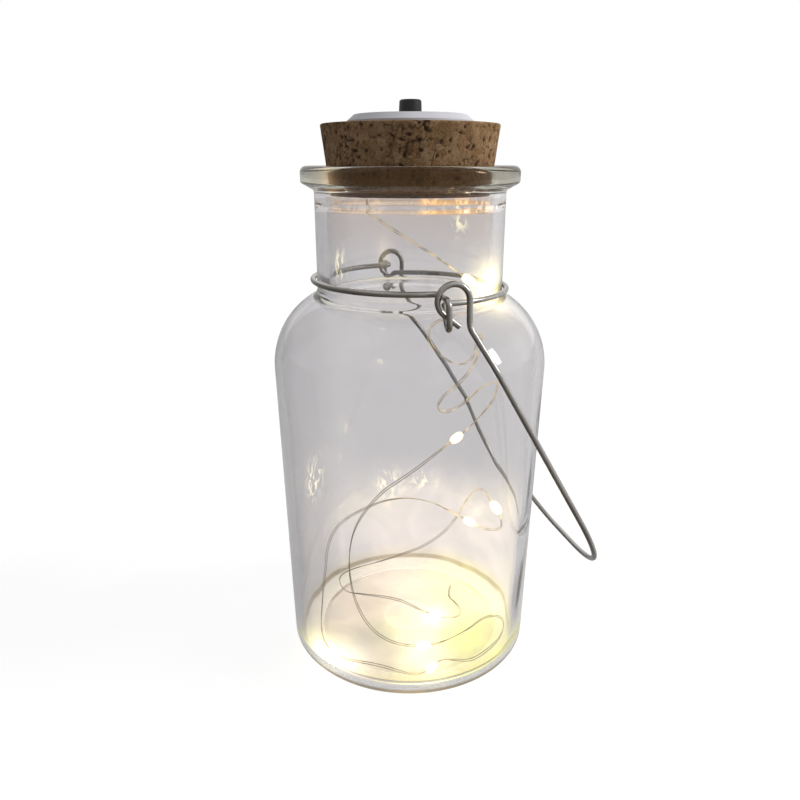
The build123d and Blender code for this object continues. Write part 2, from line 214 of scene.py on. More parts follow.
class Nodes:
    """A short way to build the nodes of a material, or of the world. A value handed to a method
    is a number, a colour, or another node's output."""

    def __init__(self, name, world=None):
        self.material = world or bpy.data.materials.new(name)
        self.material.use_nodes = True
        self.tree = self.material.node_tree
        self.tree.nodes.clear()
        self.out = self.add("ShaderNodeOutputWorld" if world else "ShaderNodeOutputMaterial")

    def add(self, kind, **settings):
        node = self.tree.nodes.new(kind)
        for key, value in settings.items():
            setattr(node, key, value)
        return node

    def feed(self, socket, value):
        if isinstance(value, bpy.types.NodeSocket):
            self.tree.links.new(value, socket)
        elif socket.type == "RGBA":
            socket.default_value = (*value, 1)
        else:
            socket.default_value = value

    def fed(self, kind, values, **settings):
        """A node whose first sockets are fed the values in order."""
        n = self.add(kind, **settings)
        for socket, value in zip(n.inputs, values):
            self.feed(socket, value)
        return n

    def coords(self, scale=(1, 1, 1)):
        mapping = self.add("ShaderNodeMapping")
        mapping.inputs["Scale"].default_value = scale
        self.feed(mapping.inputs["Vector"], self.add("ShaderNodeTexCoord").outputs["Object"])
        return mapping.outputs["Vector"]

    def noise(self, vector, scale, detail=4, rough=0.5, distort=0.0, out="Fac"):
        n = self.add("ShaderNodeTexNoise")
        n.inputs["Scale"].default_value = scale
        n.inputs["Detail"].default_value = detail
        n.inputs["Roughness"].default_value = rough
        n.inputs["Distortion"].default_value = distort
        self.feed(n.inputs["Vector"], vector)
        return n.outputs[out]

    def voronoi(self, vector, scale, feature="F1", out="Distance"):
        n = self.add("ShaderNodeTexVoronoi", feature=feature)
        n.inputs["Scale"].default_value = scale
        self.feed(n.inputs["Vector"], vector)
        return n.outputs[out]

    def attribute(self, name, out="Fac"):
        return self.add("ShaderNodeAttribute", attribute_name=name).outputs[out]

    def edges(self, blend):
        """0 where a surface is seen head on, and up to 1 at its edges."""
        n = self.add("ShaderNodeLayerWeight")
        n.inputs["Blend"].default_value = blend
        return n.outputs["Facing"]

    def ramp(self, value, *stops):
        n = self.add("ShaderNodeValToRGB")
        elements = n.color_ramp.elements
        while len(elements) < len(stops):
            elements.new(0.5)
        for element, (position, colour) in zip(elements, stops):
            element.position = position
            element.color = (*colour, 1) if isinstance(colour, tuple) else (colour, colour, colour, 1)
        self.feed(n.inputs["Fac"], value)
        return n.outputs["Color"]

    def mix(self, fac, a, b, blend="MIX"):
        n = self.add("ShaderNodeMix", data_type="RGBA", blend_type=blend)
        for socket, value in ((n.inputs[0], fac), (n.inputs[6], a), (n.inputs[7], b)):
            self.feed(socket, value)
        return n.outputs[2]

    def math(self, op, *values):
        return self.fed("ShaderNodeMath", values, operation=op).outputs[0]

    def vector_math(self, op, *values, out="Vector"):
        return self.fed("ShaderNodeVectorMath", values, operation=op).outputs[out]

    def join(self, op, *values):
        """One operation over two or more values, such as their sum."""
        total = values[0]
        for value in values[1:]:
            total = self.math(op, total, value)
        return total

    def band(self, value, low, high, soft):
        """1 between low and high, falling to 0 over soft outside them."""
        def slope(*ends):
            return self.fed("ShaderNodeMapRange", (value, *ends), interpolation_type="SMOOTHSTEP").outputs[0]
        return self.math("MULTIPLY", slope(low - soft, low, 0, 1), slope(high, high + soft, 1, 0))

    def bump(self, height, strength, distance):
        n = self.add("ShaderNodeBump")
        n.inputs["Strength"].default_value = strength
        n.inputs["Distance"].default_value = distance
        self.feed(n.inputs["Height"], height)
        return n.outputs["Normal"]

    def shader(self, kind, **values):
        """A shader by the end of its type's name, with its inputs by name."""
        n = self.add("ShaderNode" + kind)
        for key, value in values.items():
            self.feed(n.inputs[key.replace("_", " ")], value)
        return n.outputs[0]

    def mix_shaders(self, fac, a, b):
        return self.fed("ShaderNodeMixShader", (fac, a, b)).outputs[0]

    def add_shaders(self, a, b):
        return self.fed("ShaderNodeAddShader", (a, b)).outputs[0]

    def done(self, shader):
        self.feed(self.out.inputs["Surface"], shader)
        return self.material


# Materials
def glass_material():
    """Clear glass with a faint tone, blown waves, painted shade in its tone and at its edges, and painted
    light: a painted glow round the lights, and painted glints and reflections. Tone, glow, painted glints
    and shine are values on the bottle's points. Shadow and diffuse rays go straight through."""
    edge_grey = (0.30, 0.30, 0.31)
    rim_brown = (0.90, 0.52, 0.28)
    white = (1.0, 1.0, 1.0)
    m = Nodes("bottle_glass")
    # Painted shade: the tone is painted grey towards the glass's edges.
    tone = m.mix(m.ramp(m.edges(0.5), (0.6, 0.0), (0.95, 0.35)), m.attribute("tone", "Color"), edge_grey)
    shine = m.attribute("shine")
    waves = m.noise(m.coords(scale=(1, 1, 0.35)), 55, detail=2, rough=0.4)
    glass = m.shader("BsdfPrincipled", Base_Color=tone, Roughness=0.0, IOR=1.5, Transmission_Weight=1.0,
                     Specular_IOR_Level=shine, Normal=m.bump(waves, 0.10, 0.0006),
                     Specular_Tint=m.mix(m.ramp(shine, (0.1, 0.0), (0.5, 1.0)), rim_brown, white))
    clear = m.shader("BsdfTransparent", Color=(0.90, 0.90, 0.905))
    path = m.add("ShaderNodeLightPath").outputs
    through = m.math("MAXIMUM", path["Is Shadow Ray"], path["Is Diffuse Ray"])
    # Painted light: the bottle's painted glow and painted glints shine as emission.
    uneven = m.ramp(m.noise(m.coords(), 60, detail=2, distort=1.5), (0.36, 0.78), (0.64, 1.12))
    broken = m.noise(m.coords(scale=(1, 1, 0.6)), 460, detail=3, distort=0.8)
    glow = m.mix(1.0, m.attribute("glow", "Color"), uneven, "MULTIPLY")
    painted_glints = m.mix(1.0, m.attribute("painted_glints", "Color"), m.ramp(broken, (0.52, 0.0), (0.60, 1.0)), "MULTIPLY")
    light = m.shader("Emission", Color=m.vector_math("ADD", glow, painted_glints))
    return m.done(m.add_shaders(m.mix_shaders(through, glass, clear), light))


def steel_material():
    """Plain drawn wire, with painted light and shade: painted bright on the side that faces up and to the
    right, and painted dark underneath.
    """
    # Painted light: the wire's colour is painted bright on the side facing this way, and painted dark, as
    # shade, underneath.
    painted_light_from = (0.62, -0.10, 0.78)  # the direction that its bright side faces
    m = Nodes("drawn_steel")
    place = m.coords()
    spots = m.noise(place, 700, detail=5, rough=0.6)
    wide = m.math("SUBTRACT", m.noise(place, 70, detail=3), 0.5)
    normal = m.add("ShaderNodeNewGeometry").outputs["Normal"]
    turned = m.math("MULTIPLY_ADD", wide, 0.5, m.vector_math("DOT_PRODUCT", normal, painted_light_from, out="Value"))
    # Painted light and shade: the colour runs from dark underneath to bright on the side facing the painted
    # light.
    colour = m.ramp(m.math("MULTIPLY_ADD", turned, 0.5, 0.5), (0.08, (0.065, 0.053, 0.045)),
                    (0.38, (0.150, 0.133, 0.118)), (0.58, (0.38, 0.36, 0.335)), (0.85, (0.70, 0.68, 0.65)))
    rough = m.ramp(spots, (0.3, 0.16), (0.7, 0.30))
    return m.done(m.shader("BsdfPrincipled", Base_Color=colour, Metallic=1.0, Roughness=rough,
                           Normal=m.bump(spots, 0.03, 0.0001)))


def cork_material():
    """Pressed granules of four browns, with fine grain, dark cracks and pits, and painted shade on its low
    end, inside the bottle's neck.
    """
    granules = 520
    neck_shade_low, neck_shade_high = 137.2, 138.8  # heights between which the painted shade fades
    height_scale = 5  # brings a height in metres into the ramp's range
    broad_brown = (0.17, 0.10, 0.05)
    crack_brown = (0.045, 0.022, 0.011)
    neck_shade_brown = (0.060, 0.024, 0.007)
    pit_brown = (0.036, 0.017, 0.008)
    bend = (0.9 * MM, 0.9 * MM, 0.9 * MM)
    m = Nodes("cork")
    place = m.coords()
    bent = m.vector_math("MULTIPLY_ADD", m.noise(place, 600, detail=2, out="Color"), bend, place)
    shade = m.fed("ShaderNodeSeparateXYZ", (m.voronoi(bent, granules, out="Color"),)).outputs["X"]
    colour = m.ramp(shade, (0.0, (0.225, 0.132, 0.063)), (0.35, (0.262, 0.160, 0.080)),
                    (0.7, (0.300, 0.190, 0.100)), (1.0, (0.350, 0.232, 0.132)))
    colour = m.mix(m.ramp(m.noise(place, 110, detail=2), (0.35, 0.35), (0.65, 0.0)), colour, broad_brown)
    grain = m.noise(place, 1900, detail=4, rough=0.7)
    grain_tone = m.ramp(grain, (0.3, (0.42, 0.38, 0.35)), (0.7, (1.52, 1.49, 1.47)))
    colour = m.mix(0.7, colour, grain_tone, "MULTIPLY")
    edge = m.voronoi(bent, granules, feature="DISTANCE_TO_EDGE")
    broken = m.ramp(m.noise(place, 380, detail=3), (0.52, 0.0), (0.62, 0.75))
    crack = m.math("MULTIPLY", m.ramp(edge, (0.0, 1.0), (0.09, 0.0)), broken)
    colour = m.mix(crack, colour, crack_brown)
    height = m.fed("ShaderNodeSeparateXYZ", (place,)).outputs["Z"]
    # Painted shade: the cork is painted darker low down, where it sits inside the bottle's neck.
    neck_shade = m.ramp(m.math("MULTIPLY", height, height_scale), (neck_shade_low * MM * height_scale, 0.62),
                  (neck_shade_high * MM * height_scale, 0.0))
    colour = m.mix(neck_shade, colour, neck_shade_brown)
    colour = m.mix(m.attribute("pit"), colour, pit_brown)
    relief = m.math("SUBTRACT", m.math("MULTIPLY", grain, 0.35), crack)
    return m.done(m.shader("BsdfPrincipled", Base_Color=colour, Roughness=0.86, Specular_IOR_Level=0.25,
                           Normal=m.bump(relief, 0.55, 0.0004)))


def plastic_material(name, colour, rough):
    """Moulded plastic or rubber with a fine grain and faint blotches."""
    m = Nodes(name)
    place = m.coords()
    grain = m.noise(place, 1400, detail=3)
    blotch = m.ramp(m.noise(place, 120, detail=3), (0.35, 0.0), (0.7, 1.0))
    tone = m.mix(blotch, tuple(c * 0.94 for c in colour), tuple(c * 1.04 for c in colour))
    return m.done(m.shader("BsdfPrincipled", Base_Color=tone, Normal=m.bump(grain, 0.08, 0.0002),
                           Roughness=m.ramp(grain, (0.3, rough * 0.85), (0.7, rough * 1.15))))


def metal_material(name, colour, rough):
    """Plain metal, a little spotted."""
    m = Nodes(name)
    spots = m.noise(m.coords(), 800, detail=4)
    tone = m.mix(m.ramp(spots, (0.3, 0.0), (0.7, 1.0)), tuple(c * 0.85 for c in colour), colour)
    return m.done(m.shader("BsdfPrincipled", Base_Color=tone, Metallic=1.0, Roughness=rough,
                           Normal=m.bump(spots, 0.08, 0.0002)))


def string_material():
    """Fine lacquered wire, with painted golden light where the lights reach it."""
    dark, pale = (0.16, 0.135, 0.095), (0.34, 0.30, 0.22)
    m = Nodes("lacquered_wire")
    colour = m.mix(m.ramp(m.noise(m.coords(), 500, detail=3), (0.3, 0.0), (0.7, 1.0)), dark, pale)
    uneven = m.ramp(m.noise(m.coords(), 420, detail=2), (0.40, 0.25), (0.60, 1.7))
    return m.done(m.shader("BsdfPrincipled", Base_Color=colour, Metallic=0.6, Roughness=0.35,
                           Emission_Color=(1.0, 0.76, 0.36),
                           Emission_Strength=m.math("MULTIPLY", m.attribute("lit"), uneven)))


def bead_material():
    """Clear resin, white hot in the middle, and yellow and clear towards its edge."""
    warm, pale, rim = (1.0, 0.80, 0.42), (1.0, 0.88, 0.56), (0.26, 0.19, 0.055)
    m = Nodes("lit_resin")
    edges = m.edges(0.35)
    colour = m.mix(m.ramp(m.noise(m.coords(), 700, detail=2), (0.3, 0.0), (0.7, 1.0)), warm, pale)
    colour = m.mix(m.ramp(edges, (0.35, 0.0), (0.9, 1.0)), colour, rim)
    resin = m.shader("BsdfPrincipled", Base_Color=colour, Roughness=0.15, Emission_Color=colour,
                     Emission_Strength=3.2)
    soft = m.ramp(edges, (0.02, 0.0), (0.30, 0.45), (0.62, 0.90), (0.85, 1.0))
    return m.done(m.mix_shaders(soft, resin, m.shader("BsdfTransparent")))


def floor_material():
    """A pale floor that keeps the shadow, and shows as white to the camera and through the glass."""
    dark, pale = (0.29, 0.29, 0.29), (0.31, 0.31, 0.31)
    m = Nodes("pale_floor")
    colour = m.mix(m.ramp(m.noise(m.coords(), 30, detail=3), (0.3, 0.0), (0.7, 1.0)), dark, pale)
    path = m.add("ShaderNodeLightPath").outputs
    seen = m.join("MAXIMUM", path["Is Camera Ray"], path["Is Transmission Ray"],
                  m.math("MULTIPLY", path["Is Glossy Ray"], 0.35))
    light = m.shader("Emission", Color=(1, 1, 1), Strength=m.math("MULTIPLY", seen, 0.76))
    return m.done(m.add_shaders(m.shader("BsdfDiffuse", Color=colour), light))


glass_mat = glass_material()
steel_mat = steel_material()
cork_mat = cork_material()
white_mat = plastic_material("white_plastic", (0.585, 0.585, 0.625), 0.45)
black_mat = plastic_material("black_plastic", (0.0045, 0.0045, 0.0055), 0.42)
rubber_mat = plastic_material("soft_plug", (0.62, 0.58, 0.50), 0.7)
board_mat = plastic_material("board_green", (0.02, 0.13, 0.045), 0.45)
string_mat = string_material()
bead_mat = bead_material()
cell_mat = metal_material("cell_steel", (0.72, 0.72, 0.72), 0.3)
contact_mat = metal_material("contact_metal", (0.78, 0.70, 0.52), 0.35)

# The frame's own pieces
beads = ["light_bead_%d" % n for n in range(1, 9)]
chips = ["led_chip_%d" % n for n in range(1, 9)]
for material, names in (
        (steel_mat, ["neck_wire", "bail_handle"]),
        (white_mat, ["battery_case", "case_cover"]),
        (black_mat, ["switch_button", "switch_body", "resistor"]),
        (cell_mat, ["cell_lower", "cell_upper"]),
        (contact_mat, ["negative_contact", "positive_contact"]),
        (board_mat, ["circuit_board"]),
        (rubber_mat, ["wire_grommet"]),
        (string_mat, ["lead_wire"]),
        (bead_mat, beads + chips)):
    for name in names:
        for slot in nodes[name].material_slots:
            slot.material = material

# The light string's route: out of the cork, two curls in the shoulder, down the left wall, loose
# loops on the floor and up the left wall, round the back and down the right wall, and along the
# back of the floor to its middle
route = [
    (-10.733, 4.4, 130.4), (-10.733, 4.4, 126.4), (-8.4, 3.1, 124.8), (-3.2, 0.4, 121.2),
    (4.4, -4.1, 116.5), (10.6, -8.4, 111.8), (16.2, -11.0, 107.4), (15.4, -9.8, 102.4),
    (10.0, -5.6, 99.7), (4.6, -4.6, 97.6), (3.2, -6.6, 93.6), (6.4, -7.8, 88.8),
    (12.0, -7.4, 85.4), (17.0, -4.6, 86.0), (19.2, -2.8, 90.2), (18.6, -5.4, 94.6),
    (17.8, -9.6, 94.2), (16.2, -12.8, 90.6), (13.2, -14.8, 86.6), (9.4, -15.8, 83.0),
    (5.0, -15.9, 79.8), (3.4, -14.4, 76.4), (7.0, -12.6, 73.8), (14.2, -10.8, 76.6),
    (20.4, -9.0, 80.2), (25.4, -6.2, 79.4), (26.0, -4.2, 75.2), (21.8, -5.2, 70.8),
    (15.8, -8.4, 67.6), (6.2, -11.6, 63.2), (-1.6, -11.2, 57.0), (-10.9, -9.5, 50.6),
    (-18.0, -7.8, 40.6), (-20.4, -8.8, 28.8), (-19.0, -10.7, 16.4), (-14.1, -14.1, 6.8),
    (-5.4, -18.4, 4.0), (4.8, -19.6, 4.2), (13.9, -15.9, 4.3), (21.0, -10.9, 4.0),
    (26.3, -10.5, 3.8), (27.9, -14.9, 3.8), (23.8, -19.8, 3.8), (17.4, -24.8, 4.0),
    (10.6, -28.4, 3.9), (6.4, -26.8, 3.8), (2.6, -25.6, 4.1), (-4.6, -31.4, 4.1),
    (-9.2, -28.2, 3.8), (-13.6, -24.6, 3.8), (-19.2, -21.4, 4.0), (-23.6, -19.4, 4.1),
    (-28.0, -13.0, 4.6), (-28.6, -6.0, 7.4), (-27.8, -1.4, 14.1), (-26.2, -0.6, 21.8),
    (-25.2, 2.4, 27.6), (-21.0, 9.0, 31.8), (-11.6, 14.8, 33.0), (0.0, 17.8, 34.4),
    (10.8, 17.6, 32.4), (20.6, 13.2, 27.6), (28.0, 6.2, 24.8), (30.6, 0.4, 27.6),
    (30.4, -2.2, 31.8), (28.2, 2.8, 39.4), (26.6, 8.6, 38.6), (25.4, 14.2, 33.4),
    (23.2, 17.6, 25.4), (19.6, 22.0, 16.6), (13.2, 26.0, 9.6), (4.6, 28.4, 5.6),
    (-4.8, 27.4, 4.6), (-13.4, 24.2, 5.6), (-20.2, 18.8, 6.8), (-19.2, 13.4, 4.4),
    (-13.8, 11.0, 4.0), (-7.4, 8.6, 3.9), (-1.6, 4.8, 3.9), (1.6, 1.2, 4.0),
    (4.0, -3.2, 4.2), (10.6, -9.4, 4.2), (15.2, -8.4, 4.2), (15.8, -2.8, 4.2),
    (13.6, 2.4, 4.3), (16.6, 6.8, 4.6),
]
route = [Vector(p) * MM for p in route]
bead_runs = [5, 28, 36, 46, 51, 61, 64, 80]  # a light sits in the middle of each of these runs
bead_spots = [(route[i] + route[i + 1]) / 2 for i in bead_runs]

string_line = bpy.data.curves.new("string_line", "CURVE")
string_line.dimensions = "3D"
string_line.resolution_u = 12
spline = string_line.splines.new("NURBS")
spline.points.add(len(route) - 1)
for point, place in zip(spline.points, route):
    point.co = (*place, 1)
spline.order_u = 3
spline.use_endpoint_u = True
line_object = bpy.data.objects.new("string_line", string_line)
scene.collection.objects.link(line_object)
bpy.context.view_layer.update()
line_mesh = bpy.data.meshes.new_from_object(line_object)
string_path = [v.co.copy() for v in line_mesh.vertices]
bpy.data.objects.remove(line_object)
bpy.data.meshes.remove(line_mesh)

# The light string: two strands that turn round each other along the route
strand_r = 0.11
strand_out = 0.29  # from the pair's middle to each strand's
strand_sides = 8
turn_per_point = 0.045


def strand(sign):
    """One strand of the pair. The other has the opposite sign."""
    def offset(i):
        a = turn_per_point * i
        return sign * strand_out * MM * math.cos(a), sign * strand_out * MM * math.sin(a)
    return tube(string_path, strand_r * MM, strand_sides, offset)


def lit_amount(place):
    """How strongly a point of the string is lit: near a light, and a little all along the upper
    stretch and in the right-hand loop."""
    light_reach, light_strength = 5.0, 1.5
    upper_from, upper_soft, upper_strength = 68.0, 6.0, 0.42
    loop_centre, loop_reach, loop_strength = Vector((18.0, 14.0, 31.0)), 18.0, 0.45
    place = place / MM
    near = max(math.exp(-(place - spot / MM).length / light_reach) for spot in bead_spots)
    upper = max(0.0, min(1.0, (place.z - upper_from) / upper_soft))
    loop = math.exp(-((place - loop_centre).length / loop_reach) ** 2)
    return light_strength * near + upper_strength * upper + loop_strength * loop


verts_a, faces_a = strand(1)
verts_b, faces_b = strand(-1)
string_piece = add_mesh("light_string", verts_a + verts_b,
                        faces_a + [tuple(i + len(verts_a) for i in f) for f in faces_b], string_mat)
lit_layer = string_piece.data.attributes.new("lit", "FLOAT", "POINT")
lit_layer.data.foreach_set("value", [lit_amount(v.co) for v in string_piece.data.vertices])
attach(string_piece, "stopper")
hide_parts("light_wire")

# The switch's spring: a coil with closed ends under the button's stem
spring_low = 144.8
spring_high = 147.3
coil_r = 1.25
coil_wire_r = 0.15
coil_turns = 3.0
closed_turns = 0.5  # at each end
coil_steps = 144
coil_sides = 10

coil = []
for i in range(coil_steps + 1):
    turn = coil_turns * i / coil_steps
    rise = min(1.0, max(0.0, (turn - closed_turns) / (coil_turns - 2 * closed_turns)))
    a = 2 * math.pi * turn
    z = spring_low + coil_wire_r + (spring_high - spring_low - 2 * coil_wire_r) * rise
    coil.append((coil_r * math.cos(a), coil_r * math.sin(a), z))
spring_verts, spring_faces = tube(in_metres(coil), coil_wire_r * MM, coil_sides)
spring = add_mesh("switch_coil", spring_verts, spring_faces, contact_mat)
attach(spring, "stopper")
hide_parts("switch_spring")
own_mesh(spring)

# Glass bottle: its profile
bottle_sides = 256
outline_step = 2.4
shoulder_middle = body_r - shoulder_r
neck_ease = (1.7, 1.9)  # how far the ease into the neck starts before, and ends above, their corner
foot_rows = (2.6, 3.4)  # heights of two rows that bound the tone at the foot
ridge_z = 128.45  # a faint ridge inside the neck
ridge_shape = ((0, 0.85), (0.14, 0.35), (0.16, 0), (0.14, -0.35), (0, -0.85))  # inwards and up
lip_inside_z = 129.5  # the last point above the ridge
row_gap = 0.6  # between the rows below it, which bound the tone under the cork
rows_below = 4


def shoulder_points(radius, end_r, steps=28):
    """The shoulder's arc from the body up and in to a radius."""
    end = math.acos((end_r - shoulder_middle) / radius)
    angles = [end * k / steps for k in range(steps + 1)]
    return [(shoulder_middle + radius * math.cos(a), shoulder_z + radius * math.sin(a)) for a in angles]


def blend_neck(arc, r):
    """Drops the arc's last points and rounds it into the neck."""
    steps = 6
    back, up = neck_ease
    keep = [p for p in arc if math.dist(p, arc[-1]) > back]
    a, b, c = Vector(keep[-1]), Vector(arc[-1]), Vector((r, arc[-1][1] + up))
    shares = [k / steps for k in range(1, steps + 1)]
    return keep + [tuple(a * (1 - t) ** 2 + b * 2 * t * (1 - t) + c * t * t) for t in shares]


def body_at(z):
    """The body's outer radius at a height."""
    return heel_r + (body_r - heel_r) * z / shoulder_z


def bottle_profile():
    """From the base's middle out, up the outside, over the lip, down the inside to the floor."""
    out = rounded([(0, 0, 0), (pad_r, 0, pad_round), (recess_low_r, recess_low_h, pad_round),
                   (recess_high_r, recess_h, ring_round), (ring_r, 0, ring_round), (heel_r, 0, heel_round),
                   *((body_at(z), z, 0) for z in foot_rows), (body_r, shoulder_z, 0)])
    out += blend_neck(shoulder_points(shoulder_r, neck_r), neck_r)[1:]
    out += rounded([(neck_r, neck_z, 0), (neck_r, lip_under_z, lip_under_round),
                    (lip_r, lip_side_z, lip_under_round), (lip_r, bottle_h, lip_top_round),
                    (mouth_r, bottle_h, mouth_round), (mouth_r, lip_inside_z, 0)])[1:]
    out += [(mouth_r - inward, ridge_z + up) for inward, up in ridge_shape]
    out += [(mouth_r, out[-1][1] - row_gap * k) for k in range(1, rows_below + 1)]
    out += blend_neck(shoulder_points(shoulder_r - wall, mouth_r), mouth_r)[::-1]
    out += rounded([(body_r - wall, shoulder_z, 0), (heel_r - wall, floor_t, floor_round),
                    (0, floor_t, 0)])[1:]
    return fine(out, outline_step)


def outside_radius(z):
    """The bottle's outer radius at a height."""
    if z < heel_round:
        up = heel_round - max(z, 0.0)
        return heel_r - heel_round + math.sqrt(max(0.0, heel_round ** 2 - up ** 2))
    if z < shoulder_z:
        return body_at(z)
    if z < neck_z:
        return shoulder_middle + math.sqrt(max(0.0, shoulder_r ** 2 - (z - shoulder_z) ** 2))
    return neck_r if z < lip_under_z else lip_r


def is_inside(x, y, z):
    """Whether a point of the bottle is on its inner surface."""
    under_floor, under_mouth, half_wall = 0.6, 0.9, 1.1
    between = floor_t - under_floor < z < bottle_h - under_mouth
    return between and math.hypot(x, y) < outside_radius(z) - half_wall


def wobble(r, z, ca, sa):
    """The blown inside is a little uneven between the floor and the neck. The outside is true."""
    low, high = 2.7, 104.0
    low_fade, high_fade = 4.0, 10.0
    across, along = 0.060, 0.026  # waves for each millimetre
    wave, ripple, ripple_scale = 0.13, 0.03, 3.1
    if not is_inside(r, 0.0, z) or not low <= z <= high:
        return 0.0
    p = Vector((ca * r * across, sa * r * across, z * along))
    fade = min(1.0, (z - low) / low_fade, (high - z) / high_fade)
    return (wave * noise.noise(p) + ripple * noise.noise(p * ripple_scale)) * fade


verts, faces = lathe(bottle_profile(), bottle_sides, wobble)
bottle = add_mesh("bottle", in_metres(verts), faces, glass_mat)

# The bottle's tone with its painted shade, and the painted light in it, at each of its points. side runs
# rightwards and depth backwards across the floor, as the camera sees it.
right_x = 0.9694
right_y = -0.2453
points = np.array(verts)
x, y, z = points.T
side = x * right_x + y * right_y
depth = y * right_x - x * right_y
inside = np.array([float(is_inside(*p)) for p in verts])


def step(values, low, high):
    t = np.clip((values - low) / (high - low), 0, 1)
    return t * t * (3 - 2 * t)


def band(values, low, high, soft):
    """1 between low and high, falling to 0 over soft outside them."""
    return step(values, low - soft, low) * (1 - step(values, high, high + soft))


def patches(*rows):
    """Soft round patches added up, each with its centre, reach and strength."""
    return sum(strength * np.exp(-(np.linalg.norm(points - np.array(centre), axis=1) / reach) ** 2)
               for centre, reach, strength in rows)


def on_floor(*rows):
    """Soft round patches on the floor, each with its x, y, reach and strength."""
    return patches(*(((a, b, floor_t), reach, strength) for a, b, reach, strength in rows))


def darkened(colour, *losses):
    """A colour that loses some of its red, green and blue, by amounts at each point."""
    return colour * (1 - sum(np.outer(amount, share) for amount, share in losses))


def towards(colour, amount, target):
    """A colour moved towards another, by an amount at each point."""
    return colour + (target - colour) * amount[:, None]


def coloured(*rows):
    """Light of several kinds added up, each an amount at each point and a colour."""
    return sum(np.outer(amount, colour) for amount, colour in rows)


on_base = inside * band(z, 0.0, 3.2, 5.0)
# Under the cork goes a painted reflection of the lit cork.
under_cork = band(z, 126.2, 129.0, 0.6) * step(depth, -2.0, 6.0)
on_lip = step(z, 131.8, 133.2)
# At the foot go painted shade and a painted glint.
on_foot = (1 - step(z, 1.7, 2.7)) * step(np.hypot(x, y), 33.8, 35.0)


def bottle_tone_and_shade():
    """Greyer in the thick lip, painted dark at the foot and on the shaded side as shade, painted lighter on
    the lit side, and clear on the inside, but for a warm band under the cork, painted as a reflection of the
    lit cork, a floor painted warm by the lights' glow, and a patch of painted shade on the floor."""
    outer_tone = np.full((len(points), 3), (0.57, 0.555, 0.565))
    across = side / np.array([max(outside_radius(h), 20.0) for h in z])
    # Painted shade on the shaded left side, and painted light on the lit right side.
    outer_tone *= (1 - 0.30 * step(-across, 0.62, 0.95))[:, None]
    outer_tone *= (1 + 0.10 * step(across, 0.65, 0.95))[:, None]
    outer_tone = towards(outer_tone, on_lip, np.array((0.325, 0.315, 0.26)))
    # Painted shade: the foot is painted dark where it meets the floor.
    outer_tone = towards(outer_tone, on_foot, np.array((0.105, 0.078, 0.040)))
    inner_tone = np.full((len(points), 3), (0.93, 0.925, 0.93))
    # Painted reflection: a warm band under the cork, painted as the lit cork mirrored in the glass.
    inner_tone = darkened(inner_tone, (under_cork, (0.22, 0.38, 0.56)),
                          (under_cork * step(side, 0.0, 8.0), (0.0, 0.16, 0.26)))
    inner_tone = darkened(inner_tone, (step(z, 112, 124) * (1 - step(z, 132.5, 134)), (0.10, 0.15, 0.19)))
    # Painted light: the floor is painted yellow, as lit by the lights' glow.
    inner_tone = darkened(inner_tone, (on_base, (0.03, 0.11, 0.40)))
    # Painted shade: a soft dark patch on the floor.
    inner_tone = darkened(inner_tone, (on_base * on_floor((-11, 6, 7.5, 0.42)), (0.9, 1.0, 1.1)))
    return towards(outer_tone, inside, inner_tone)


def bottle_glow():
    """Smooth light: wide and yellow in the floor, white where lights lie, pinkish behind them, and
    on the walls low at the back and beside the lights that hang near the glass."""
    yellow = on_floor((23, -4, 14, 0.5), (22, 14, 12, 0.42), (18, -22, 13, 0.5), (9, -12, 10, 0.4),
                      (-4, -7, 8, 0.3), (-32, -9, 7, 0.5), (-4, -27, 9, 0.3))
    white = on_floor((8, -5, 4.5, 0.9), (0, -12, 7, 0.7), (-1, -24, 7, 0.8), (-28, -16, 7, 1.7),
                     (-24, -22, 7, 0.5))
    beige = on_floor((4, 15, 13, 0.26), (-19, 6, 13, 0.2), (-13, -21, 9, 0.3), (-23, -3, 10, 0.2))
    wash = 0.44 * step(depth, -12, 4) * step(side, -36, -2) * band(z, 2, 20, 26)
    beside = patches(((15.0, -15.9, 107.6), 5.2, 3.2), ((34.8, 1.0, 35.6), 6.0, 0.55),
                     ((30.0, 16.5, 27.0), 9.0, 0.30), ((-29.0, -16.5, 5.0), 6.0, 0.9),
                     ((16.0, -15.0, 108.0), 11.0, 0.30))
    lip_spot = patches(((-20.4, -7.8, 135.3), 2.6, 0.42))
    ember = under_cork * (band(side, 5, 17, 4) * 0.30 + 0.06)
    gleam = patches(((-9.0, -34.6, 1.0), 5.5, 0.20)) + 0.03 * np.sin(np.arctan2(depth, side) * 9 + 1) ** 2
    return coloured((yellow * on_base, (1.0, 0.96, 0.05)), (white * on_base, (1.0, 0.95, 0.72)),
                    (beige * on_base, (1.0, 0.72, 0.50)), (wash * inside, (1.0, 0.82, 0.64)),
                    (beside * inside, (1.0, 0.86, 0.42)), (lip_spot * inside, (1.0, 0.58, 0.18)),
                    (ember * inside, (1.0, 0.50, 0.10)), (on_foot * (1 - inside) * gleam, (1.0, 0.66, 0.30)))


